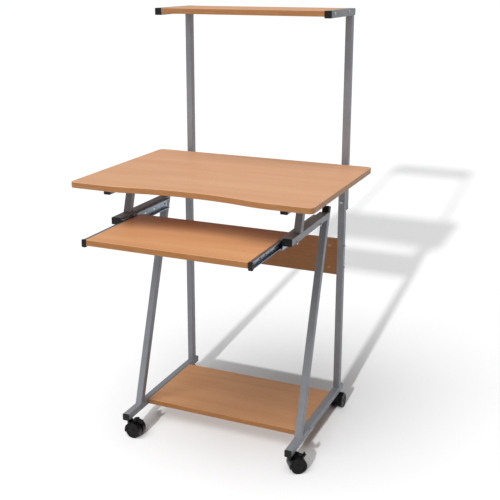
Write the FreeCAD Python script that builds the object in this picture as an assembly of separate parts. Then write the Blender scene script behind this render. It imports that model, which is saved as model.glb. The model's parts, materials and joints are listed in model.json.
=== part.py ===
"""Computer desk with keyboard tray: steel side frames, laminated boards, ball slides, casters.

Millimetres, +Z up, +Y to the rear, +X to the right as seen from the front.
The origin is the middle of the footprint, on the floor.
While modelling, y is measured from the front face of the rear uprights.
"""
import FreeCAD, Part
import math
import os

V = FreeCAD.Vector
X_AXIS, Y_AXIS, Z_AXIS = V(1, 0, 0), V(0, 1, 0), V(0, 0, 1)
SIDES = {"left": -1, "right": 1}

# ---------------------------------------------------------------- driving dimensions
# boards
board = 15.0                    # thickness of every board
edge_round = 1.2                # rounding of the banded edges
desk_width = 660.0
desk_depth = 484.0
desk_height = 752.0             # floor to the top of the desktop
desk_corner = 14.0              # plan radius of the corners
desk_rear_gap = 4.0             # desktop's rear edge to the uprights
recess_depth = 23.0             # how far the front edge curves in
recess_half_width = 225.0
recess_shoulder = 320.0         # radius of the two outer arcs of the recess
tray_depth = 262.0
tray_height = 641.0             # floor to the top of the tray
tray_corner = 4.0
lower_shelf_depth = 260.0
lower_shelf_reach = 288.0       # its front edge, ahead of the uprights
lower_shelf_drop = 2.0          # its top, below the top of the rails
top_shelf_depth = 197.0
panel_height = 106.0
panel_bottom = 425.0            # floor to the underside of the back panel

# side frames
frame_width = 506.0             # over the outer faces of the tubes
tube = 19.0                     # square tube
wall = 1.2
tube_round = 2.0                # outer corner radius of a tube
rail_reach = 397.0              # bottom rail ahead of the uprights
rail_tail = 32.0                # bottom rail behind the front of the uprights
leg_foot = 330.0                # slanted leg's front face ahead of the uprights, on the rail
leg_lean = 17.9                 # degrees, the top leans to the rear
top_rail_reach = 446.0
tray_rail_reach = 414.0
tray_rail_width = 25.0
tray_rail_top = 649.0           # floor to the top of the tray rails
strut_set = 358.0               # strut's front face ahead of the uprights, on the tray rail
post_lap = 118.0                # how far the upper posts run down behind the uprights
overall_height = 1176.0
shelf_rail_length = 201.0
shelf_rail_tail = 5.0           # shelf rail behind the upper posts

# plastic end caps
cap_flange = 3.0
cap_plug = 12.0
leg_cap_flange = 18.0
leg_cap_round = 1.2

# ball slides
slide_length = 250.0
slide_height = 27.0
slide_thickness = 12.2
slide_sheet = 1.2
slide_lip = 0.9                 # how far the outer member's lips turn in
slide_drop = 4.5                # top of the slide below the top of the tray rail
slide_front_set = 2.0           # slide behind the tray rail's front cap
slide_extension = 178.0         # how far the tray stands out at rest
ball_radius = 1.6
ball_gap = 0.05                 # running clearance of a ball in its track
ball_pitch = 10.0
balls_in_row = 5
cage_sheet = 0.6
cage_web_gap = 0.8              # cage to the inner member
cage_back_gap = 1.4             # cage to the outer member's web
ball_lip_gap = 0.7              # balls to the outer member's lips
slide_cap_length = 6.0          # plastic cap on the inner member's front end
slide_cap_lap = 0.6             # cap's height over the member, above and below
slide_cap_back = 1.0            # cap's outer face inside the tray rail's inner face
slide_cap_round = 1.5
slot_radius = 2.2               # spare fixing slots in the slide members
slot_run = 6.0
outer_slot_sets = (62.0, 128.0, 176.0, 236.0)   # from the member's front end
inner_slot_sets = (60.0, 92.0, 154.0, 184.0, 236.0)

# fasteners
screw_radius = 2.0
screw_head_radius = 4.2
screw_head_height = 2.2
screw_bite = 11.0               # thread in a board's face
edge_screw_bite = 32.0          # thread in a board's edge
tray_screw_head_radius = 3.4
tray_screw_head_height = 1.3
tray_screw_bite = 16.0
bolt_radius = 2.5
bolt_head_radius = 4.6
bolt_head_height = 2.8
bolt_end = 2.0                  # bolt's end beyond its nut
nut_height = 4.0
nut_sides = 6
barrel_radius = 4.0
barrel_length = 11.0
barrel_set = 23.0               # barrel nut from the end of the panel
panel_bolt_spacing = 65.0
post_bolt_low = 23.0            # lower bolt above the post's lower end
post_bolt_spacing = 52.0
hole_gap = 0.25                 # radial clearance of a hole in a tube
head_round = 0.55               # share of a head's height that its rim rounds off
drive_depth = 0.6               # share of a head's height that the cross is sunk
drive_reach = 0.62              # share of a head's radius that the cross spans
drive_slot = 1.1
desktop_screw_sets = (40.0, 215.0, 406.0)       # ahead of the uprights
lower_shelf_screw_inset = 32.0
top_shelf_screw_sets = (29.0, 147.0)            # from the shelf's front edge
slide_bolt_sets = (31.0, 205.0)                 # from the slide's front end
tray_screw_sets = (30.0, 122.0, 214.0)          # from the inner member's front end

# casters
wheel_radius = 22.0
wheel_width = 16.5
wheel_round = 1.6
wheel_gap = 0.6
wheel_rim = 5.5                 # flat rim around the dish
wheel_dish_depth = 1.4
hub_radius = 4.5
web = 5.0                       # hood's middle wall
boss_radius = 10.0              # middle wall around the axle
axle_radius = 2.5
axle_gap = 0.05                 # running clearance of the axle in the hood
axle_inset = 2.5                # axle's end inside the wheel's face
trail = 18.0                    # swivel axis to axle
hood_gap = 1.0                  # wheel to the hood's shell
hood_sheet = 2.0
neck_rise = 0.5                 # neck above the hood's shell
neck_radius = 8.0
neck_depth = 13.0
swivel_radius = 3.5
swivel_gap = 0.05
swivel_depth = 6.0
swivel_end_gap = 0.5            # pin's end above the socket's bottom
swivel_collar_gap = 0.4
collar_radius = 7.0
collar_height = 5.1
stem_radius = 4.0
stem_length = 12.0
stem_nut_height = 5.0
stem_nut_gap = 1.5              # stem nut to the tube's side walls
stem_nut_set = 1.2              # stem nut to the rail cap's plug
rear_caster_tail = 4.0          # rear stems behind the front of the uprights
hood_start, hood_end = 84.5, 196.0              # degrees about the axle, from the trailing side
caster_turns = {                # degrees from +X to the trailing side
    "front_left": 0.0, "front_right": 35.0, "rear_left": 150.0, "rear_right": 90.0}
braked = ("front_left", "front_right")
pivot_angle = 80.0              # brake pivot about the axle
pivot_rise = 3.6                # brake pivot beyond the wheel's rim
knuckle_radius = 2.4
trunnion_radius = 1.4
trunnion_gap = 0.06
lever_width = 14.0
ear_width = 3.0
ear_gap = 0.4
lug_angle = 5.0                 # degrees of hood that an ear's lug reaches over
lug_back, lug_low, lug_drop = 2.0, 1.0, 0.6     # lug beyond that point, below it, below the ear
lever_sheet = 2.2
lever_reach = 34.0              # degrees of wheel that the lever covers
shoe_gap = 0.5                  # lever to the wheel when it is pressed down
pedal_angle = 2.5               # degrees from the lever's end to the pedal's middle
pedal_length = 5.0
pedal_roll = 1.8                # radius of the pedal's rounded end
brake_lift = 14.0               # degrees that the lever stands up when it is off

# a quarter turn in degrees, and how close counts as touching and as parallel
QUARTER = 90.0
NEAR = 0.01
PARALLEL = 0.999

# ---------------------------------------------------------------- derived positions
half_frame = frame_width / 2
hood_top = 2 * wheel_radius + hood_gap + hood_sheet + neck_rise
rail_clearance = hood_top + swivel_collar_gap + collar_height
rail_top = rail_clearance + tube
desk_under = desk_height - board
top_rail_bottom = desk_under - tube
tray_rail_bottom = tray_rail_top - tube
post_bottom = desk_under - post_lap
shelf_rail_bottom = overall_height - tube
shelf_rail_rear = 2 * tube + shelf_rail_tail
tray_half = half_frame - tray_rail_width - slide_thickness
slide_front = -tray_rail_reach + slide_front_set
slide_mid = tray_rail_top - slide_drop - slide_height / 2
tray_front = slide_front - slide_extension - slide_cap_length
stem_nut_half = tube / 2 - wall - stem_nut_gap
front_caster_reach = rail_reach - cap_plug - stem_nut_set - stem_nut_half
caster_spots = {}
for _name in caster_turns:
    _side = SIDES[_name.split("_")[1]]
    _y = -front_caster_reach if _name.startswith("front") else rear_caster_tail
    caster_spots[_name] = (_side * (half_frame - tube / 2), _y)
pivot_radius = wheel_radius + pivot_rise
caster_width = web + 2 * (wheel_gap + wheel_width)

# the footprint's front and rear ends set the origin
footprint_front = tray_front
footprint_rear = shelf_rail_rear + cap_flange
origin_shift = V(0, -(footprint_front + footprint_rear) / 2, 0)

nodes = {}


# ---------------------------------------------------------------- helpers
def box(x, y, z):
    """Box from three (low, high) pairs."""
    return Part.makeBox(x[1] - x[0], y[1] - y[0], z[1] - z[0], V(x[0], y[0], z[0]))


def span(a, b):
    """(low, high) of two values in either order."""
    return (min(a, b), max(a, b))


def rod(radius, start, end):
    """Round bar between two points."""
    return Part.makeCylinder(radius, (end - start).Length, start, end - start)


def edges_along(shape, axis):
    """Straight edges of a shape that run along an axis."""
    found = []
    for edge in shape.Edges:
        if len(edge.Vertexes) == 2:
            run = edge.Vertexes[1].Point - edge.Vertexes[0].Point
            if run.Length > 0 and abs(run.normalize().dot(axis)) > PARALLEL:
                found.append(edge)
    return found


def bar(x, y, z, axis, radius):
    """Box whose edges along an axis are rounded."""
    solid = box(x, y, z)
    return solid.makeFillet(radius, edges_along(solid, axis))


def hollow(x, y, z, axis):
    """Rectangular tube along an axis, open at both ends."""
    inner = [(a + wall, b - wall) for a, b in (x, y, z)]
    index = (X_AXIS, Y_AXIS, Z_AXIS).index(axis)
    inner[index] = (x, y, z)[index]
    outer = bar(x, y, z, axis, tube_round)
    return outer.cut(bar(*inner, axis, tube_round - wall))


def side_x(side, width=tube):
    """x range of a frame tube on one side, outer faces in line."""
    return span(side * half_frame, side * (half_frame - width))


def end_cap(x, z, y_end, inward):
    """Cap on the end of a tube along Y: a flange and a plug that fits the bore."""
    flange = bar(x, span(y_end, y_end - inward * cap_flange), z, Y_AXIS, tube_round)
    bore_x, bore_z = (x[0] + wall, x[1] - wall), (z[0] + wall, z[1] - wall)
    plug = bar(bore_x, span(y_end, y_end + inward * cap_plug), bore_z, Y_AXIS, tube_round - wall)
    return flange.fuse(plug).removeSplitter()


def upright_cap(x, y, z_end, inward):
    """Cap on the end of a vertical tube."""
    flange = bar(x, y, span(z_end, z_end - inward * cap_flange), Z_AXIS, tube_round)
    bore_x, bore_y = (x[0] + wall, x[1] - wall), (y[0] + wall, y[1] - wall)
    plug = bar(bore_x, bore_y, span(z_end, z_end + inward * cap_plug), Z_AXIS, tube_round - wall)
    return flange.fuse(plug).removeSplitter()


def drill(name, tools):
    """Cut a list of solids out of a node."""
    nodes[name] = nodes[name].cut(tools)


def group(solids):
    """Several separate pieces in one node."""
    return Part.makeCompound(solids)


def drive_recess(top, direction, head_radius, head_height):
    """Cross recess that is sunk into a head from its top."""
    depth = head_height * drive_depth
    reach, half = head_radius * drive_reach, drive_slot / 2
    slots = []
    for long_x, long_y in ((reach, half), (half, reach)):
        slots.append(box((-long_x, long_x), (-long_y, long_y), (-depth, depth)))
    cross = slots[0].fuse(slots[1])
    cross.Placement = FreeCAD.Placement(top, FreeCAD.Rotation(Z_AXIS, direction))
    return cross


def fastener(head_point, direction, length, radius, head_radius, head_height):
    """Pan-head screw or bolt: the head sits on head_point and the shank runs along direction."""
    shank = rod(radius, head_point, head_point + direction * length)
    top = head_point - direction * head_height
    head = rod(head_radius, top, head_point)
    rim = [e for e in head.Edges if e.Closed and e.CenterOfMass.distanceToPoint(top) < head_height / 2]
    head = head.makeFillet(head_height * head_round, rim)
    recess = drive_recess(top, direction, head_radius, head_height)
    return head.fuse(shank).removeSplitter().cut(recess)


def rounded_board(outline, top):
    """Board from a closed plan outline, with rounded upper and lower edges."""
    solid = Part.Face(outline).extrude(V(0, 0, -board))
    flat = [e for e in solid.Edges if e.BoundBox.ZLength < NEAR]
    solid = solid.makeFillet(edge_round, flat)
    solid.translate(V(0, 0, top))
    return solid


# ---------------------------------------------------------------- boards
def desktop_outline():
    """Plan of the desktop: rounded corners and a shallow wave in the front edge."""
    half = desk_width / 2
    rear = -desk_rear_gap
    front = rear - desk_depth
    turn = 2 * math.atan(recess_depth / recess_half_width)

    def front_arc(side):
        """The outer arc of the wave, from the straight shoulder to the inflection."""
        def point(angle):
            return V(side * (recess_half_width - recess_shoulder * math.sin(angle)),
                     front + recess_shoulder * (1 - math.cos(angle)), 0)
        return point(0), point(turn / 2), point(turn)

    def corner(cx, cy, quarter):
        """A corner's quarter circle: start, middle and end, counted anticlockwise from +X."""
        def point(turns):
            a = math.radians(turns * QUARTER)
            return V(cx + desk_corner * math.cos(a), cy + desk_corner * math.sin(a), 0)
        return point(quarter), point(quarter + 1 / 2), point(quarter + 1)

    c = desk_corner
    bottom = V(0, front + recess_depth, 0)
    left_start, left_mid, left_end = front_arc(-1)
    right_start, right_mid, right_end = front_arc(1)
    arcs = [corner(-half + c, front + c, 2), (left_start, left_mid, left_end),
            (left_end, bottom, right_end), (right_end, right_mid, right_start),
            corner(half - c, front + c, -1), corner(half - c, rear - c, 0),
            corner(-half + c, rear - c, 1)]
    edges = []
    for index, arc in enumerate(arcs):
        edges.append(Part.Arc(*arc).toShape())
        following = arcs[(index + 1) % len(arcs)][0]
        if arc[2].distanceToPoint(following) > NEAR:
            edges.append(Part.makeLine(arc[2], following))
    return Part.Wire(edges)


def plain_outline(half_x, y, corner):
    """Rectangle with rounded corners."""
    plate = bar((-half_x, half_x), y, (0, 1), Z_AXIS, corner)
    face = [f for f in plate.Faces if f.normalAt(0, 0).z < -PARALLEL][0]
    return face.OuterWire


def make_boards():
    nodes["desktop"] = rounded_board(desktop_outline(), desk_height)
    tray_y = (tray_front, tray_front + tray_depth)
    nodes["keyboard_tray"] = rounded_board(plain_outline(tray_half, tray_y, tray_corner), tray_height)
    between = half_frame - tube
    lower_y = (-lower_shelf_reach, lower_shelf_depth - lower_shelf_reach)
    nodes["bottom_shelf"] = rounded_board(
        plain_outline(between, lower_y, edge_round), rail_top - lower_shelf_drop)
    top_front = shelf_rail_rear - shelf_rail_length
    nodes["top_shelf"] = rounded_board(
        plain_outline(between, (top_front, top_front + top_shelf_depth), edge_round), overall_height)
    panel_y = ((tube - board) / 2, (tube + board) / 2)
    panel = box((-between, between), panel_y, (panel_bottom, panel_bottom + panel_height))
    nodes["back_panel"] = panel.makeFillet(edge_round, edges_along(panel, X_AXIS))


# ---------------------------------------------------------------- side frames
def lean(solid, foot_y, foot_z):
    """Lean an upright solid to the rear about a line along X."""
    solid.rotate(V(0, foot_y, foot_z), X_AXIS, -leg_lean)
    return solid


def leaning_tube(side, front_y, foot_z, length):
    """Square tube whose front face starts at front_y on the level foot_z, leaning back."""
    x = side_x(side)
    below = tube                # spare length that the level cut takes off
    return lean(hollow(x, (front_y, front_y + tube), (foot_z - below, foot_z + length), Z_AXIS),
                front_y, foot_z)


def make_side(side_name, side):
    x = side_x(side)
    rail_y = (-rail_reach, rail_tail)
    nodes["bottom_rail_" + side_name] = hollow(x, rail_y, (rail_clearance, rail_top), Y_AXIS)
    nodes["rear_upright_" + side_name] = hollow(x, (0, tube), (rail_top, desk_under), Z_AXIS)
    nodes["top_rail_" + side_name] = hollow(
        x, (-top_rail_reach, 0), (top_rail_bottom, desk_under), Y_AXIS)
    nodes["upper_post_" + side_name] = hollow(
        x, (tube, 2 * tube), (post_bottom, shelf_rail_bottom), Z_AXIS)
    nodes["shelf_rail_" + side_name] = hollow(
        x, (shelf_rail_rear - shelf_rail_length + cap_flange, shelf_rail_rear),
        (shelf_rail_bottom, overall_height), Y_AXIS)

    # the slanted leg stands on the bottom rail and ends level with the tray rail
    above_rail = box((-desk_width, desk_width), (-desk_depth, desk_depth), (rail_top, overall_height))
    leg_length = (tray_rail_top - rail_top) / math.cos(math.radians(leg_lean))
    leg = leaning_tube(side, -leg_foot, rail_top, leg_length)
    nodes["slanted_leg_" + side_name] = leg.common(above_rail)

    # the tray rail runs back into the leg and its end follows the leg's slope
    rail_x = side_x(side, tray_rail_width)
    leg_block = lean(box(side_x(side, frame_width), (-leg_foot, desk_depth), (0, overall_height)),
                     -leg_foot, rail_top)
    rail = hollow(rail_x, (-tray_rail_reach, 0), (tray_rail_bottom, tray_rail_top), Y_AXIS)
    nodes["tray_rail_" + side_name] = rail.cut(leg_block)

    # the strut stands on the tray rail and carries the top rail
    level = box((-desk_width, desk_width), (-desk_depth, desk_depth), (tray_rail_top, top_rail_bottom))
    strut = leaning_tube(side, -strut_set, tray_rail_top, 2 * (top_rail_bottom - tray_rail_top))
    nodes["front_strut_" + side_name] = strut.common(level)


def leg_cap(side):
    """Tall cap on the slanted leg's upper end."""
    x = side_x(side)
    y = (-leg_foot, -leg_foot + tube)
    end = rail_top + (tray_rail_top - rail_top) / math.cos(math.radians(leg_lean))
    flange = bar(x, y, (end, end + leg_cap_flange), Z_AXIS, tube_round)
    top_rim = [e for e in flange.Edges if e.BoundBox.ZMin > end + leg_cap_flange - NEAR]
    flange = flange.makeFillet(leg_cap_round, top_rim)
    bore_x, bore_y = (x[0] + wall, x[1] - wall), (y[0] + wall, y[1] - wall)
    plug = bar(bore_x, bore_y, (end - cap_plug, end), Z_AXIS, tube_round - wall)
    return lean(flange.fuse(plug).removeSplitter(), -leg_foot, rail_top)


def make_caps():
    bottom, top, tray, shelf, leg, post = [], [], [], [], [], []
    for side in SIDES.values():
        x = side_x(side)
        bottom.append(end_cap(x, (rail_clearance, rail_top), -rail_reach, 1))
        bottom.append(end_cap(x, (rail_clearance, rail_top), rail_tail, -1))
        top.append(end_cap(x, (top_rail_bottom, desk_under), -top_rail_reach, 1))
        rail_x = side_x(side, tray_rail_width)
        tray.append(end_cap(rail_x, (tray_rail_bottom, tray_rail_top), -tray_rail_reach, 1))
        shelf_z = (shelf_rail_bottom, overall_height)
        shelf.append(end_cap(x, shelf_z, shelf_rail_rear - shelf_rail_length + cap_flange, 1))
        shelf.append(end_cap(x, shelf_z, shelf_rail_rear, -1))
        leg.append(leg_cap(side))
        post.append(upright_cap(x, (0, tube), desk_under, -1))
        post.append(upright_cap(x, (tube, 2 * tube), post_bottom, 1))
    nodes["bottom_rail_caps"] = group(bottom)
    nodes["top_rail_caps"] = group(top)
    nodes["tray_rail_caps"] = group(tray)
    nodes["shelf_rail_caps"] = group(shelf)
    nodes["leg_caps"] = group(leg)
    nodes["post_caps"] = group(post)


# ---------------------------------------------------------------- ball slides
def slot(side, face, y):
    """Cutter for a spare fixing slot through a slide member's web."""
    ends = [V(side * (face - slide_sheet), y + end * slot_run / 2, slide_mid) for end in (-1, 1)]
    through = V(side * slide_sheet, 0, 0)
    rods = [rod(slot_radius, point, point + through) for point in ends]
    middle = box(span(side * (face - slide_sheet), side * face), (ends[0].y, ends[1].y),
                 (slide_mid - slot_radius, slide_mid + slot_radius))
    return rods[0].multiFuse([rods[1], middle])


def make_slide(side_name, side):
    """Outer member on the tray rail, inner member on the tray, ball cage between them."""
    face = half_frame - tray_rail_width         # tray rail's inner face
    back = face - slide_thickness               # tray's side face
    half = slide_height / 2
    sheet = slide_sheet
    track = half - sheet - 2 * (ball_radius + ball_gap)     # inner member's half height

    def plate(a, b, y, z):
        return box(span(side * a, side * b), y, (slide_mid + z[0], slide_mid + z[1]))

    # outer member: a channel with lips, open towards the tray
    y = (slide_front, slide_front + slide_length)
    mouth = back + sheet
    parts = [plate(face - sheet, face, y, (-half, half))]
    for end in (-1, 1):
        flange_z = span(end * (half - sheet), end * half)
        parts.append(plate(mouth, face, y, flange_z))
        parts.append(plate(mouth, mouth + sheet, y, span(end * (half - sheet - slide_lip), end * half)))
    outer = parts[0].multiFuse(parts[1:]).removeSplitter()
    slots = [slot(side, face, slide_front + distance) for distance in outer_slot_sets]
    nodes["slide_outer_" + side_name] = outer.cut(slots)

    # inner member: a smaller channel fixed to the tray's edge
    inner_front = tray_front + slide_cap_length
    inner_y = (inner_front, inner_front + slide_length)
    reach = face - sheet - cage_back_gap - cage_sheet - cage_web_gap
    parts = [plate(back, back + sheet, inner_y, (-track, track))]
    for end in (-1, 1):
        parts.append(plate(back, reach, inner_y, span(end * (track - sheet), end * track)))
    inner = parts[0].multiFuse(parts[1:]).removeSplitter()
    slots = [slot(side, back + sheet, inner_front + distance) for distance in inner_slot_sets]
    nodes["slide_inner_" + side_name] = inner.cut(slots)

    # ball cage: half way between the two members' overlap
    overlap = (slide_front, inner_y[1])
    middle = sum(overlap) / 2
    row = (balls_in_row - 1) * ball_pitch
    cage_y = (middle - row / 2 - ball_pitch / 2, middle + row / 2 + ball_pitch / 2)
    cage_web = (reach + cage_web_gap, reach + cage_web_gap + cage_sheet)
    ball_x = mouth + sheet + ball_radius + ball_lip_gap
    level = track + ball_gap + ball_radius
    parts = [plate(*cage_web, cage_y, (-level - cage_sheet / 2, level + cage_sheet / 2))]
    balls = []
    for end in (-1, 1):
        lip_z = span(end * (level - cage_sheet / 2), end * (level + cage_sheet / 2))
        parts.append(plate(ball_x - ball_radius, cage_web[1], cage_y, lip_z))
        for index in range(balls_in_row):
            centre = V(side * ball_x, middle - row / 2 + index * ball_pitch, slide_mid + end * level)
            balls.append(Part.makeSphere(ball_radius, centre))
    cage = parts[0].multiFuse(parts[1:]).removeSplitter()
    nodes["ball_cage_" + side_name] = cage.cut(balls)
    nodes["slide_balls_" + side_name] = group(balls)


def slide_front_cap(side):
    """Plastic cap on the inner member's front end, flush with the tray's front edge."""
    face = half_frame - tray_rail_width
    back = face - slide_thickness
    x = span(side * back, side * (face - slide_cap_back))
    half = slide_height / 2 - slide_sheet - 2 * (ball_radius + ball_gap) + slide_cap_lap
    return bar(x, (tray_front, tray_front + slide_cap_length), (slide_mid - half, slide_mid + half),
               Y_AXIS, slide_cap_round)


# ---------------------------------------------------------------- fasteners
def hexagon_nut(point):
    """Blank of a nut that stands on a point and runs to the rear."""
    corners = []
    for index in range(nut_sides + 1):
        a = 2 * math.pi * index / nut_sides
        corners.append(point + V(bolt_head_radius * math.cos(a), 0, bolt_head_radius * math.sin(a)))
    return Part.Face(Part.Wire(Part.makePolygon(corners))).extrude(V(0, nut_height, 0))


def make_fasteners():
    """Screws and bolts, and the holes they need in what they join."""
    between = half_frame - tube
    groups = {"desktop_screws": [], "bottom_shelf_screws": [], "top_shelf_screws": [],
              "back_panel_bolts": [], "barrel_nuts": [], "post_bolts": [], "slide_bolts": [],
              "tray_screws": []}
    screw = (screw_radius, screw_head_radius, screw_head_height)
    bolt = (bolt_radius, bolt_head_radius, bolt_head_height)
    lower_z = rail_top - lower_shelf_drop - board / 2
    lower_rear = lower_shelf_depth - lower_shelf_reach
    lower_spots = (-lower_shelf_reach + lower_shelf_screw_inset, lower_rear - lower_shelf_screw_inset)
    top_front = shelf_rail_rear - shelf_rail_length
    panel_mid = panel_bottom + panel_height / 2

    for side_name, side in SIDES.items():
        centre_x = side * (half_frame - tube / 2)
        outer_x = side * half_frame
        inward = V(-side, 0, 0)

        def hole(head_point, direction, length, radius=screw_radius):
            return rod(radius + hole_gap, head_point, head_point + direction * length)

        # desktop: from below, through the top rail
        for distance in desktop_screw_sets:
            start = V(centre_x, -distance, top_rail_bottom)
            groups["desktop_screws"].append(fastener(start, Z_AXIS, tube + screw_bite, *screw))
            drill("top_rail_" + side_name, [hole(start, Z_AXIS, tube)])

        # shelves: from the side, through the rail into the board's edge
        for y in lower_spots:
            start = V(outer_x, y, lower_z)
            groups["bottom_shelf_screws"].append(fastener(start, inward, tube + edge_screw_bite, *screw))
            drill("bottom_rail_" + side_name, [hole(start, inward, tube)])
        for distance in top_shelf_screw_sets:
            start = V(outer_x, top_front + distance, overall_height - board / 2)
            groups["top_shelf_screws"].append(fastener(start, inward, tube + edge_screw_bite, *screw))
            drill("shelf_rail_" + side_name, [hole(start, inward, tube)])

        # back panel: bolts into barrel nuts
        for offset in (-panel_bolt_spacing / 2, panel_bolt_spacing / 2):
            start = V(outer_x, tube / 2, panel_mid + offset)
            length = tube + barrel_set + barrel_radius
            bolt_solid = fastener(start, inward, length, *bolt)
            groups["back_panel_bolts"].append(bolt_solid)
            drill("rear_upright_" + side_name, [hole(start, inward, tube, bolt_radius)])
            nut_start = V(side * (between - barrel_set), (tube - board) / 2, panel_mid + offset)
            barrel = rod(barrel_radius, nut_start, nut_start + Y_AXIS * barrel_length)
            groups["barrel_nuts"].append(barrel.cut(bolt_solid))

        # upper post: bolted through the upright, nuts behind
        for index in range(2):
            z = post_bottom + post_bolt_low + index * post_bolt_spacing
            start = V(centre_x, 0, z)
            bolt_solid = fastener(start, Y_AXIS, 2 * tube + nut_height + bolt_end, *bolt)
            groups["post_bolts"].append(bolt_solid)
            nut_point = V(centre_x, 2 * tube, z)
            nut = hexagon_nut(nut_point)
            groups["post_bolts"].append(nut.cut(rod(bolt_radius, nut_point, nut_point + Y_AXIS * nut_height)))
            bore = hole(start, Y_AXIS, 2 * tube, bolt_radius)
            drill("rear_upright_" + side_name, [bore])
            drill("upper_post_" + side_name, [bore])

        # outer slide member: bolts through the tray rail
        for distance in slide_bolt_sets:
            start = V(outer_x, slide_front + distance, slide_mid)
            slide_bolt = fastener(start, inward, tray_rail_width + slide_sheet, *screw)
            groups["slide_bolts"].append(slide_bolt)
            drill("tray_rail_" + side_name, [hole(start, inward, tray_rail_width)])
            drill("slide_outer_" + side_name, [slide_bolt])

        # inner slide member: screws into the tray's edge
        inner_x = side * (tray_half + slide_sheet)
        for distance in tray_screw_sets:
            start = V(inner_x, tray_front + slide_cap_length + distance, tray_height - board / 2)
            tray_screw = fastener(start, inward, slide_sheet + tray_screw_bite,
                                  screw_radius, tray_screw_head_radius, tray_screw_head_height)
            groups["tray_screws"].append(tray_screw)
            drill("slide_inner_" + side_name, [tray_screw])

    drill("desktop", groups["desktop_screws"])
    drill("bottom_shelf", groups["bottom_shelf_screws"])
    drill("top_shelf", groups["top_shelf_screws"])
    drill("back_panel", groups["back_panel_bolts"] + groups["barrel_nuts"])
    drill("keyboard_tray", groups["tray_screws"])
    for name, solids in groups.items():
        nodes[name] = group(solids)


# ---------------------------------------------------------------- casters
def about_axle(radius, start, end, width, inner=0.0):
    """Sector of a disc or ring about the axle, in the caster's own frame."""
    solid = Part.makeCylinder(radius, width, V(0, 0, -width / 2), Z_AXIS, end - start)
    if inner:
        solid = solid.cut(Part.makeCylinder(inner, width, V(0, 0, -width / 2)))
    solid.rotate(V(), Z_AXIS, start)
    solid.rotate(V(), X_AXIS, QUARTER)
    solid.translate(V(trail, 0, wheel_radius))
    return solid


def axle_point(radius, degrees, y=0.0):
    """Point at a radius and angle about the axle."""
    a = math.radians(degrees)
    return V(trail + radius * math.cos(a), y, wheel_radius + radius * math.sin(a))


def caster_hood(has_brake):
    """Hood over the twin wheels with its middle wall, neck and, on some, the brake's ears."""
    shell_in = wheel_radius + hood_gap
    shell_out = shell_in + hood_sheet
    shell = about_axle(shell_out, hood_start, hood_end, caster_width, shell_in)
    middle = about_axle(shell_in + hood_sheet / 2, hood_start, hood_end, web)
    boss = rod(boss_radius, V(trail, -web / 2, wheel_radius), V(trail, web / 2, wheel_radius))
    neck = rod(neck_radius, V(0, 0, hood_top - neck_depth), V(0, 0, hood_top))
    for side in (-1, 1):
        inner_y = side * web / 2
        room = rod(wheel_radius + wheel_gap, V(trail, inner_y, wheel_radius),
                   V(trail, side * caster_width, wheel_radius))
        neck = neck.cut(room)
    hood = shell.multiFuse([middle, boss, neck])
    if has_brake:
        pivot = axle_point(pivot_radius, pivot_angle)
        for side in (-1, 1):
            near = side * (lever_width / 2 + ear_gap)
            far = near + side * ear_width
            ear = rod(knuckle_radius, V(pivot.x, near, pivot.z), V(pivot.x, far, pivot.z))
            root = axle_point(shell_in + hood_sheet / 2, hood_start + lug_angle)
            lug = box((root.x - lug_back, pivot.x), span(near, far),
                      (root.z - lug_low, pivot.z + knuckle_radius - lug_drop))
            hood = hood.multiFuse([ear, lug])
            hood = hood.cut(rod(wheel_radius + wheel_gap, V(trail, side * web / 2, wheel_radius),
                                V(trail, side * caster_width, wheel_radius)))
        hood = hood.cut(rod(trunnion_radius + trunnion_gap, V(pivot.x, -caster_width, pivot.z),
                            V(pivot.x, caster_width, pivot.z)))
        knuckle_room = lever_width / 2 + ear_gap
        hood = hood.cut(rod(knuckle_radius + ear_gap, V(pivot.x, -knuckle_room, pivot.z),
                            V(pivot.x, knuckle_room, pivot.z)))
    hood = hood.cut(rod(axle_radius + axle_gap, V(trail, -web, wheel_radius), V(trail, web, wheel_radius)))
    socket_bottom = hood_top - swivel_depth
    hood = hood.cut(rod(swivel_radius + swivel_gap, V(0, 0, socket_bottom), V(0, 0, hood_top)))
    return hood.removeSplitter()


def caster_wheels():
    """Two separate wheels, each dished on its outer face and bored for the axle."""
    solids = []
    for side in (-1, 1):
        near = side * (web / 2 + wheel_gap)
        far = near + side * wheel_width
        wheel = rod(wheel_radius, V(trail, near, wheel_radius), V(trail, far, wheel_radius))
        wheel = wheel.makeFillet(wheel_round, [e for e in wheel.Edges if e.Closed])
        dish = rod(wheel_radius - wheel_rim, V(trail, far - side * wheel_dish_depth, wheel_radius),
                   V(trail, far, wheel_radius))
        hub = rod(hub_radius, V(trail, near, wheel_radius), V(trail, far, wheel_radius))
        wheel = wheel.cut(dish.cut(hub))
        bore = rod(axle_radius, V(trail, near, wheel_radius),
                   V(trail, far - side * axle_inset, wheel_radius))
        solids.append(wheel.cut(bore))
    return group(solids)


def caster_axle():
    """Pin that both wheels are pressed on."""
    half = caster_width / 2 - axle_inset
    return rod(axle_radius, V(trail, -half, wheel_radius), V(trail, half, wheel_radius))


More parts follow.
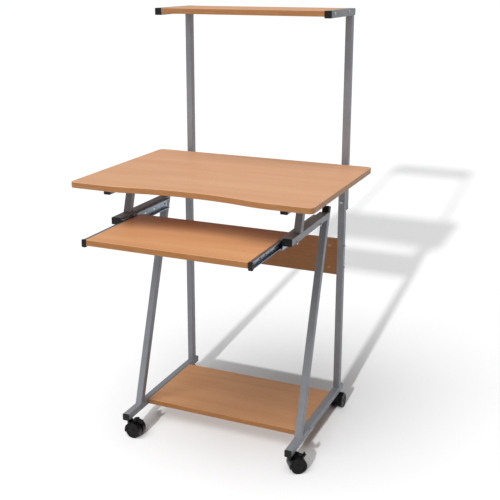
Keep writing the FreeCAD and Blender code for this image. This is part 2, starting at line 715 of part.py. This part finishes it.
def brake_lever():
    """Pedal that swings down on the wheels; modelled pressed down, then lifted to its rest."""
    pivot = axle_point(pivot_radius, pivot_angle)
    inner = wheel_radius + shoe_gap
    end = pivot_angle - lever_reach
    shoe = about_axle(inner + lever_sheet, end, pivot_angle, lever_width, inner)
    knuckle = rod(knuckle_radius, V(pivot.x, -lever_width / 2, pivot.z),
                  V(pivot.x, lever_width / 2, pivot.z))
    tip = axle_point(inner + lever_sheet + pedal_length, 0)
    pedal = box((trail + inner, tip.x), (-lever_width / 2, lever_width / 2),
                (wheel_radius - lever_sheet / 2, wheel_radius + lever_sheet / 2))
    roll = rod(pedal_roll, V(tip.x, -lever_width / 2, tip.z), V(tip.x, lever_width / 2, tip.z))
    pedal = pedal.fuse(roll)
    pedal.rotate(V(trail, 0, wheel_radius), Y_AXIS, -(end + pedal_angle))
    half = lever_width / 2 + ear_gap + ear_width
    trunnion = rod(trunnion_radius, V(pivot.x, -half, pivot.z), V(pivot.x, half, pivot.z))
    lever = shoe.multiFuse([knuckle, pedal, trunnion]).removeSplitter()
    lever.rotate(pivot, Y_AXIS, -brake_lift)
    return lever


def place_caster(solid, name):
    """Turn a caster piece about its swivel axis and move it under its rail."""
    solid.rotate(V(), Z_AXIS, caster_turns[name])
    x, y = caster_spots[name]
    solid.translate(V(x, y, 0))
    return solid


def make_casters():
    stems = []
    for name, (x, y) in caster_spots.items():
        nodes["caster_hood_" + name] = place_caster(caster_hood(name in braked), name)
        nodes["caster_wheels_" + name] = place_caster(caster_wheels(), name)
        nodes["caster_axle_" + name] = place_caster(caster_axle(), name)
        if name in braked:
            nodes["brake_lever_" + name] = place_caster(brake_lever(), name)
        pin = rod(swivel_radius, V(x, y, hood_top - swivel_depth + swivel_end_gap), V(x, y, rail_clearance))
        collar = rod(collar_radius, V(x, y, hood_top + swivel_collar_gap), V(x, y, rail_clearance))
        thread = rod(stem_radius, V(x, y, rail_clearance), V(x, y, rail_clearance + stem_length))
        stem = pin.multiFuse([collar, thread]).removeSplitter()
        nut = box((x - stem_nut_half, x + stem_nut_half), (y - stem_nut_half, y + stem_nut_half),
                  (rail_clearance + wall, rail_clearance + wall + stem_nut_height))
        stems += [stem, nut.cut(thread)]
        rail = "bottom_rail_" + name.split("_")[1]
        drill(rail, [rod(stem_radius + hole_gap, V(x, y, rail_clearance),
                         V(x, y, rail_clearance + wall))])
    nodes["caster_stems"] = group(stems)


# ---------------------------------------------------------------- build and export
make_boards()
for side_name, side in SIDES.items():
    make_side(side_name, side)
    make_slide(side_name, side)
make_caps()
nodes["slide_front_caps"] = group([slide_front_cap(side) for side in SIDES.values()])
make_fasteners()
make_casters()

os.makedirs("parts", exist_ok=True)
for name, shape in nodes.items():
    shape.translate(origin_shift)
    shape.exportStep("parts/" + name + ".step")
print(len(nodes), "nodes")
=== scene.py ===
"""Computer desk with keyboard tray: materials, weld beads, light and camera around the CAD frame.

Every CAD node stays as its own visible shape. Two pieces are added, the weld beads of each side.
Lengths are in metres, with the desk's front towards -y.
"""
import bpy
import bmesh
import json
import math
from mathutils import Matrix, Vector

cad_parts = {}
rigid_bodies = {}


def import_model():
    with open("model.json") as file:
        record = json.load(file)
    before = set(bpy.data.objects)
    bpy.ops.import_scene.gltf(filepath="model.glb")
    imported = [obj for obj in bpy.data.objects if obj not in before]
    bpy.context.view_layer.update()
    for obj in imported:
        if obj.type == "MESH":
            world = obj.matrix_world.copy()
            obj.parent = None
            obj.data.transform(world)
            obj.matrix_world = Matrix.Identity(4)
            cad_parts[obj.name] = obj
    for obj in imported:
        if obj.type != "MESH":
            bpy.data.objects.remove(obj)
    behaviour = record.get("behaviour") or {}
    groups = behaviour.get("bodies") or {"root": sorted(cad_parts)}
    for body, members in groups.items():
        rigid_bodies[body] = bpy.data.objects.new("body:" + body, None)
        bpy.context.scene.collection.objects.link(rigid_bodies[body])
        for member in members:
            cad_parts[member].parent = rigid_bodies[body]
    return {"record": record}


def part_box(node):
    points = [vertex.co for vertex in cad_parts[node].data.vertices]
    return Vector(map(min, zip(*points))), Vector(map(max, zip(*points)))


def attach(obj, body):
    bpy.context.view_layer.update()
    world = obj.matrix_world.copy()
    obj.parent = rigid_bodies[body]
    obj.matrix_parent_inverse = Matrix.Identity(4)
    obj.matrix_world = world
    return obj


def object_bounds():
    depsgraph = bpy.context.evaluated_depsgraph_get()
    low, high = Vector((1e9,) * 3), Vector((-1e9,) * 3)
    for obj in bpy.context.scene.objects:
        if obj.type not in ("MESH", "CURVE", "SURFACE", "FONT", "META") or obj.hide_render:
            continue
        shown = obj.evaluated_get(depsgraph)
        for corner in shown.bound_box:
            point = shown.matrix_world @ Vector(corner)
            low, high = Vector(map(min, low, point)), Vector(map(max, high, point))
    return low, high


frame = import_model()
cad_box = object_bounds()
MM = 0.001
WHITE = (1.0, 1.0, 1.0, 1.0)

# sizes repeated from part.py, which this script can't read
TUBE = 19.0 * MM
LEG_SLOPE = math.radians(17.9)         # struts and slanted legs, from upright


# ---------------------------------------------------------------- node helpers
MIX_A, MIX_B, MIX_COLOUR = 6, 7, 2     # a Mix node's colour sockets have only numbers
BEVEL_SAMPLES = 4


class Surface:
    """A procedural material: a Principled shader and the nodes that feed it."""

    def __init__(self, name, roughness=0.5, metallic=0.0, specular=0.5):
        self.material = bpy.data.materials.new(name)
        self.material.use_nodes = True
        self.tree = self.material.node_tree
        self.shader = self.tree.nodes["Principled BSDF"]
        self.shader.inputs["Roughness"].default_value = roughness
        self.shader.inputs["Metallic"].default_value = metallic
        self.shader.inputs["Specular IOR Level"].default_value = specular
        self.place = self.tree.nodes.new("ShaderNodeTexCoord").outputs["Object"]

    def node(self, kind, **values):
        made = self.tree.nodes.new("ShaderNode" + kind)
        for key, value in values.items():
            setattr(made, key, value)
        return made

    def link(self, source, target):
        """Feed a socket from another socket, or set it to a plain value."""
        if isinstance(source, bpy.types.NodeSocket):
            self.tree.links.new(source, target)
        else:
            target.default_value = source

    def stretched(self, x, y, z):
        """Object coordinates scaled along each axis, in repeats per metre."""
        made = self.node("Mapping")
        self.link(self.place, made.inputs["Vector"])
        made.inputs["Scale"].default_value = (x, y, z)
        return made.outputs["Vector"]

    def noise(self, vector, scale=1.0, detail=3.0, roughness=0.55, distortion=0.0):
        made = self.node("TexNoise")
        self.link(vector, made.inputs["Vector"])
        made.inputs["Scale"].default_value = scale
        made.inputs["Detail"].default_value = detail
        made.inputs["Roughness"].default_value = roughness
        made.inputs["Distortion"].default_value = distortion
        return made.outputs["Fac"]

    def spread(self, value, low, high, to_low=0.0, to_high=1.0):
        """Map a range of a value to another range, clamped."""
        made = self.node("MapRange")
        self.link(value, made.inputs["Value"])
        for socket, number in zip(("From Min", "From Max", "To Min", "To Max"),
                                  (low, high, to_low, to_high)):
            made.inputs[socket].default_value = number
        return made.outputs["Result"]

    def math(self, operation, a, b=0.0):
        made = self.node("Math", operation=operation)
        self.link(a, made.inputs[0])
        self.link(b, made.inputs[1])
        return made.outputs[0]

    def mix(self, factor, a, b, blend="MIX"):
        made = self.node("Mix", data_type="RGBA", blend_type=blend)
        self.link(factor, made.inputs["Factor"])
        self.link(a, made.inputs[MIX_A])
        self.link(b, made.inputs[MIX_B])
        return made.outputs[MIX_COLOUR]

    def bump(self, height, strength, distance):
        made = self.node("Bump")
        made.inputs["Strength"].default_value = strength
        made.inputs["Distance"].default_value = distance
        self.link(height, made.inputs["Height"])
        self.link(made.outputs["Normal"], self.shader.inputs["Normal"])

    def edges(self, radius, low=0.02, high=0.25):
        """1 along sharp outer edges, 0 on the flats."""
        rounded = self.node("Bevel", samples=BEVEL_SAMPLES)
        rounded.inputs["Radius"].default_value = radius
        dot = self.node("VectorMath", operation="DOT_PRODUCT")
        self.link(rounded.outputs["Normal"], dot.inputs[0])
        self.link(self.node("NewGeometry").outputs["Normal"], dot.inputs[1])
        away = self.math("SUBTRACT", 1.0, dot.outputs["Value"])
        return self.spread(away, low, high)

    def colour(self, socket):
        self.link(socket, self.shader.inputs["Base Color"])

    def rough(self, socket):
        self.link(socket, self.shader.inputs["Roughness"])


def rgb(r, g, b):
    """Linear colour from 0-255 display values."""
    def linear(v):
        v /= 255
        return v / 12.92 if v <= 0.04045 else ((v + 0.055) / 1.055) ** 2.4
    return (linear(r), linear(g), linear(b), 1.0)


# ---------------------------------------------------------------- materials
def beech_laminate(name="beech_laminate", shade_tint=WHITE):
    """Printed beech: long soft figure, fine streaks, short darker flecks, banded edges, and a
    painted highlight along the sharp edges.
    """
    s = Surface(name, roughness=0.42, specular=0.45)
    figure = s.noise(s.stretched(1.6, 17, 17), detail=3.0, roughness=0.5, distortion=0.6)
    streaks = s.noise(s.stretched(7, 330, 330), detail=4.0, roughness=0.6, distortion=0.3)
    fleck_shape = s.noise(s.stretched(95, 1150, 1150), detail=1.0, roughness=0.5)
    flecks = s.spread(fleck_shape, 0.63, 0.70)
    colour = s.mix(s.spread(figure, 0.32, 0.68), rgb(203, 150, 110), rgb(214, 164, 125))
    colour = s.mix(s.spread(streaks, 0.35, 0.75, 0.0, 0.4), colour, rgb(192, 137, 96))
    colour = s.mix(s.math("MULTIPLY", flecks, 0.35), colour, rgb(166, 110, 72))

    # the edge banding is a plain, deeper brown with its own finer print
    facing = s.node("SeparateXYZ")
    s.link(s.node("NewGeometry").outputs["True Normal"], facing.inputs[0])
    side = s.spread(s.math("ABSOLUTE", facing.outputs["Z"]), 0.45, 0.30)
    band_noise = s.noise(s.stretched(30, 30, 500), detail=3.0)
    band = s.mix(s.spread(band_noise, 0.35, 0.7), rgb(172, 116, 68), rgb(188, 134, 84))
    # painted highlight: a paler, yellower tone along the sharp edges stands in for light catching
    # them
    painted_edge_highlight = s.math("MULTIPLY", s.edges(0.0016, 0.01, 0.12), 0.5)
    colour = s.mix(painted_edge_highlight, s.mix(side, colour, band), rgb(228, 190, 146))
    # a shade tint, when given, darkens and warms the whole board: painted shade
    s.colour(s.mix(1.0, colour, shade_tint, "MULTIPLY"))
    gloss = s.noise(s.stretched(5, 90, 90), detail=2.0)
    s.rough(s.spread(gloss, 0.3, 0.7, 0.36, 0.46))
    pressed = s.math("ADD", streaks, s.math("MULTIPLY", flecks, -0.8))
    s.bump(pressed, strength=0.12, distance=0.00012)
    return s.material


def frame_paint():
    """Silver-grey powder coat: fine orange peel, slightly rubbed edges."""
    s = Surface("frame_paint", roughness=0.42, metallic=0.25, specular=0.5)
    broad = s.noise(s.place, scale=22.0, detail=3.0)
    sparkle = s.noise(s.place, scale=1800.0, detail=1.0)
    colour = s.mix(s.spread(broad, 0.3, 0.7), rgb(139, 142, 148), rgb(147, 150, 156))
    colour = s.mix(s.spread(sparkle, 0.55, 0.8, 0.0, 0.16), colour, rgb(172, 174, 178))
    patches = s.spread(s.noise(s.place, scale=160.0, detail=4.0), 0.45, 0.62)
    worn = s.math("MULTIPLY", s.edges(0.0011), patches)
    s.colour(s.mix(s.math("MULTIPLY", worn, 0.3), colour, rgb(190, 192, 194)))
    s.rough(s.spread(s.noise(s.place, scale=60.0, detail=3.0), 0.3, 0.7, 0.36, 0.5))
    s.bump(s.noise(s.place, scale=900.0, detail=2.0), strength=0.16, distance=0.0002)
    return s.material


def black_plastic():
    """Moulded end caps: fine spark texture and paler rubbed corners."""
    s = Surface("black_plastic", roughness=0.5, specular=0.28)
    grain = s.noise(s.place, scale=2400.0, detail=2.0)
    cloud = s.noise(s.place, scale=70.0, detail=3.0)
    colour = s.mix(s.spread(cloud, 0.3, 0.7), rgb(16, 16, 18), rgb(24, 24, 26))
    s.colour(s.mix(s.math("MULTIPLY", s.edges(0.0008), 0.3), colour, rgb(52, 52, 54)))
    s.rough(s.spread(grain, 0.3, 0.7, 0.42, 0.6))
    s.bump(grain, strength=0.25, distance=0.00012)
    return s.material


def slide_zinc():
    """Blue zinc plate on rolled steel: rolling lines and cloudy passivation."""
    s = Surface("slide_zinc", roughness=0.3, metallic=0.9)
    cloud = s.noise(s.place, scale=45.0, detail=4.0, roughness=0.6, distortion=0.8)
    lines = s.noise(s.stretched(900, 12, 900), detail=3.0)
    colour = s.mix(s.spread(cloud, 0.3, 0.7), rgb(118, 130, 145), rgb(158, 170, 184))
    s.colour(s.mix(s.spread(lines, 0.4, 0.7, 0.0, 0.3), colour, rgb(186, 195, 205)))
    s.rough(s.spread(cloud, 0.3, 0.7, 0.24, 0.4))
    s.bump(lines, strength=0.1, distance=0.00008)
    return s.material


def ball_steel():
    """Polished bearing balls with a film of grease."""
    s = Surface("ball_steel", roughness=0.12, metallic=1.0)
    film = s.noise(s.place, scale=700.0, detail=2.0)
    s.colour(s.mix(s.spread(film, 0.35, 0.65), rgb(186, 188, 192), rgb(216, 218, 221)))
    s.rough(s.spread(film, 0.3, 0.7, 0.08, 0.26))
    s.bump(film, strength=0.05, distance=0.00005)
    return s.material


def caster_nylon():
    """Semi-gloss black casters: dusty tread, rubbed rims."""
    s = Surface("caster_nylon", roughness=0.36, specular=0.22)
    dust = s.noise(s.place, scale=120.0, detail=4.0, roughness=0.65)
    height = s.node("SeparateXYZ")
    s.link(s.place, height.inputs[0])
    low = s.spread(height.outputs["Z"], 0.012, 0.0)
    colour = s.mix(s.spread(dust, 0.35, 0.7), rgb(6, 6, 8), rgb(12, 12, 14))
    dusty = s.math("MULTIPLY", low, s.spread(dust, 0.45, 0.65, 0.05, 0.4))
    colour = s.mix(dusty, colour, rgb(72, 70, 68))
    s.colour(s.mix(s.math("MULTIPLY", s.edges(0.0009), 0.3), colour, rgb(48, 48, 50)))
    s.rough(s.spread(dust, 0.3, 0.7, 0.26, 0.44))
    s.bump(s.noise(s.place, scale=1500.0, detail=2.0), strength=0.1, distance=0.0001)
    return s.material


def fastener_steel():
    """Bright zinc fasteners, a little tarnished in the recesses."""
    s = Surface("fastener_steel", roughness=0.3, metallic=1.0)
    tarnish = s.noise(s.place, scale=380.0, detail=4.0, roughness=0.6)
    s.colour(s.mix(s.spread(tarnish, 0.35, 0.7), rgb(158, 161, 165), rgb(196, 198, 200)))
    s.rough(s.spread(tarnish, 0.3, 0.7, 0.22, 0.42))
    s.bump(tarnish, strength=0.1, distance=0.0001)
    return s.material


def nut_bronze():
    """Barrel nuts: yellow passivation, dulled, with a machined face."""
    s = Surface("nut_bronze", roughness=0.45, metallic=0.7)
    stain = s.noise(s.place, scale=520.0, detail=4.0, roughness=0.6)
    s.colour(s.mix(s.spread(stain, 0.35, 0.7), rgb(150, 108, 78), rgb(182, 140, 104)))
    s.rough(s.spread(stain, 0.3, 0.7, 0.36, 0.55))
    s.bump(stain, strength=0.12, distance=0.0001)
    return s.material


def weld_steel():
    """Weld beads under the frame's paint: rippled and a little duller."""
    s = Surface("weld_paint", roughness=0.5, metallic=0.25)
    cloud = s.noise(s.place, scale=420.0, detail=3.0)
    s.colour(s.mix(s.spread(cloud, 0.35, 0.7), rgb(112, 115, 119), rgb(140, 143, 147)))
    s.rough(s.spread(cloud, 0.3, 0.7, 0.42, 0.6))
    s.bump(s.noise(s.place, scale=2000.0, detail=3.0), strength=0.3, distance=0.0002)
    return s.material


def studio_floor():
    """Pale seamless floor."""
    s = Surface("studio_floor", roughness=0.9, specular=0.1)
    s.colour(s.mix(s.noise(s.place, scale=0.8, detail=2.0), rgb(196, 196, 197), rgb(198, 198, 198)))
    return s.material


MATERIALS = {
    "beech_laminate": beech_laminate(), "frame_paint": frame_paint(),
    "black_plastic": black_plastic(), "slide_zinc": slide_zinc(), "ball_steel": ball_steel(),
    "caster_nylon": caster_nylon(), "fastener_steel": fastener_steel(),
    "nut_bronze": nut_bronze()}

# painted shade: the lower boards, which lie in shade under the desktop, get a warmer, darker copy
# of the same laminate
SHADED_BOARDS = ("keyboard_tray", "back_panel", "bottom_shelf")
shaded_beech = beech_laminate("beech_laminate_shaded", (0.99, 0.93, 0.80, 1.0))

for part in frame["record"]["subparts"]:
    node = bpy.data.objects[part["node"]]
    chosen = shaded_beech if part["node"] in SHADED_BOARDS else MATERIALS[part["material_slot"]]
    node.data.materials.clear()
    node.data.materials.append(chosen)


# ---------------------------------------------------------------- weld beads
BEAD_RADIUS = 1.5 * MM
BEAD_RIPPLE = 1.7 * MM                 # from one ripple to the next
BEAD_SWELL = 0.13                      # height of a ripple, as a share of the radius
BEAD_TIP = 0.06                        # radius left at the very end, as a share
BEAD_INSET = 2.5 * MM                  # from the tube's side to the bead's end
RINGS_PER_RIPPLE = 6
LEAST_RINGS = 12
BEAD_SIDES = 10


def bead(mesh, start, end):
    """A rippled bead of weld from one point to another, with rounded ends."""
    run = end - start
    turn = run.to_track_quat("Z", "Y").to_matrix().to_4x4()
    steps = max(LEAST_RINGS, int(run.length / BEAD_RIPPLE * RINGS_PER_RIPPLE))
    rings = []
    for i in range(steps + 1):
        t = i / steps
        from_end = min(t, 1 - t) * run.length / (2 * BEAD_RADIUS)
        taper = math.sqrt(max(0.0, 1 - (1 - from_end) ** 2)) if from_end < 1 else 1.0
        wave = 1 + BEAD_SWELL * abs(math.sin(math.pi * t * run.length / BEAD_RIPPLE))
        size = max(BEAD_RADIUS * taper * wave, BEAD_RADIUS * BEAD_TIP)
        ring = []
        for k in range(BEAD_SIDES):
            a = 2 * math.pi * k / BEAD_SIDES
            local = Vector((size * math.cos(a), size * math.sin(a), t * run.length))
            ring.append(mesh.verts.new(turn @ local + start))
        rings.append(ring)
    for lower, upper in zip(rings, rings[1:]):
        for k in range(BEAD_SIDES):
            n = (k + 1) % BEAD_SIDES
            mesh.faces.new((lower[k], lower[n], upper[n], upper[k]))
    mesh.faces.new(rings[0][::-1])
    mesh.faces.new(rings[-1])


def weld_lines(side):
    """Where tubes meet on one side frame: pairs of points across each tube."""
    upright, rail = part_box("rear_upright_" + side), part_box("bottom_rail_" + side)
    leg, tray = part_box("slanted_leg_" + side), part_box("tray_rail_" + side)
    strut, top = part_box("front_strut_" + side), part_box("top_rail_" + side)
    post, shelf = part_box("upper_post_" + side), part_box("shelf_rail_" + side)
    x = (upright[0].x + BEAD_INSET, upright[1].x - BEAD_INSET)
    cut_depth = TUBE / math.cos(LEG_SLOPE)      # a sloping tube cut off level
    strut_rise = top[0].z - tray[1].z
    strut_lean = (strut[1].y - strut[0].y) - cut_depth
    places = [
        (upright[0].y, rail[1].z), (upright[1].y, rail[1].z),
        (leg[0].y, rail[1].z), (leg[0].y + cut_depth, rail[1].z),
        (strut[0].y, tray[1].z), (strut[0].y + cut_depth, tray[1].z),
        (strut[0].y + strut_lean, top[0].z), (strut[1].y, top[0].z),
        (upright[0].y, top[0].z), (tray[1].y - strut_lean / strut_rise * TUBE, tray[0].z),
        (post[0].y, shelf[0].z), (post[1].y, shelf[0].z)]
    return [(Vector((x[0], y, z)), Vector((x[1], y, z))) for y, z in places]


for side in ("left", "right"):
    shape = bmesh.new()
    for start, end in weld_lines(side):
        bead(shape, start, end)
    data = bpy.data.meshes.new("weld_beads_" + side)
    shape.to_mesh(data)
    shape.free()
    data.shade_smooth()
    data.materials.append(weld_steel())
    welds = bpy.data.objects.new("weld_beads_" + side, data)
    bpy.context.scene.collection.objects.link(welds)
    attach(welds, "root")


# ---------------------------------------------------------------- studio
FLOOR_REACH = 120.0                    # half its width, so its edge fades into the surround
SURROUND = 0.36                        # the white surround as a light

# heading and elevation in degrees, strength, width of the disc in degrees
HIGH_LIGHT = (-12.0, 62.0, 3.15, 50.0)
LOW_LIGHT = (3.4, 18.6, 6.2, 1.8)


def sun(name, heading, elevation, strength, softness):
    """A distant light that shines the heading's way: degrees left of straight back."""
    data = bpy.data.lights.new(name, "SUN")
    data.energy = strength
    data.angle = math.radians(softness)
    light = bpy.data.objects.new(name, data)
    turn, drop = math.radians(heading), math.radians(elevation)
    level = math.cos(drop)
    way = Vector((-math.sin(turn) * level, math.cos(turn) * level, -math.sin(drop)))
    light.rotation_euler = way.to_track_quat("-Z", "Y").to_euler()
    bpy.context.scene.collection.objects.link(light)
    return light


def background(tree, strength):
    """A white background shader."""
    made = tree.nodes.new("ShaderNodeBackground")
    made.inputs["Color"].default_value = WHITE
    made.inputs["Strength"].default_value = strength
    return made.outputs[0]


def studio():
    """A pale floor, a white surround, a soft high light and a low one for the floor alone."""
    data = bpy.data.meshes.new("floor")
    shape = bmesh.new()
    bmesh.ops.create_grid(shape, x_segments=2, y_segments=2, size=FLOOR_REACH)
    shape.to_mesh(data)
    shape.free()
    data.materials.append(studio_floor())
    floor = bpy.data.objects.new("floor", data)
    floor.location = (0, 0, cad_box[0].z)
    floor.visible_diffuse = False      # no glow from the floor on the undersides
    bpy.context.scene.collection.objects.link(floor)

    # the surround lights the desk dimly, and the camera sees it as plain white
    world = bpy.data.worlds.new("studio")
    world.use_nodes = True
    tree = world.node_tree
    tree.nodes.remove(tree.nodes["Background"])
    choose = tree.nodes.new("ShaderNodeMixShader")
    is_seen = tree.nodes.new("ShaderNodeLightPath").outputs["Is Camera Ray"]
    tree.links.new(is_seen, choose.inputs[0])
    tree.links.new(background(tree, SURROUND), choose.inputs[1])
    tree.links.new(background(tree, 1.0), choose.inputs[2])
    tree.links.new(choose.outputs[0], tree.nodes["World Output"].inputs["Surface"])
    bpy.context.scene.world = world

    sun("high_soft_light", *HIGH_LIGHT)
    grazing = sun("low_floor_light", *LOW_LIGHT)
    lit = bpy.data.collections.new("lit_by_low_floor_light")
    lit.objects.link(floor)
    grazing.light_linking.receiver_collection = lit


# place, angles and lens fitted to the photo's corners and edges; the shift is kept
# small so that the desk stays in frame from other sides
CAMERA_PLACE = (0.9690, -2.0500, 1.2670)
CAMERA_AZIMUTH = math.radians(23.82)
CAMERA_PITCH = math.radians(14.97)
CAMERA_LENS = 63.75
CAMERA_SHIFT = (0.0123, -0.08)


def camera():
    """A standing viewer's height, to the right of the desk, looking a little down."""
    data = bpy.data.cameras.new("camera")
    data.lens = CAMERA_LENS
    data.shift_x, data.shift_y = CAMERA_SHIFT
    eye = bpy.data.objects.new("camera", data)
    eye.location = CAMERA_PLACE
    eye.rotation_euler = (math.pi / 2 - CAMERA_PITCH, 0, CAMERA_AZIMUTH)
    bpy.context.scene.collection.objects.link(eye)
    bpy.context.scene.camera = eye


studio()
camera()
bpy.context.scene.view_settings.view_transform = "Standard"
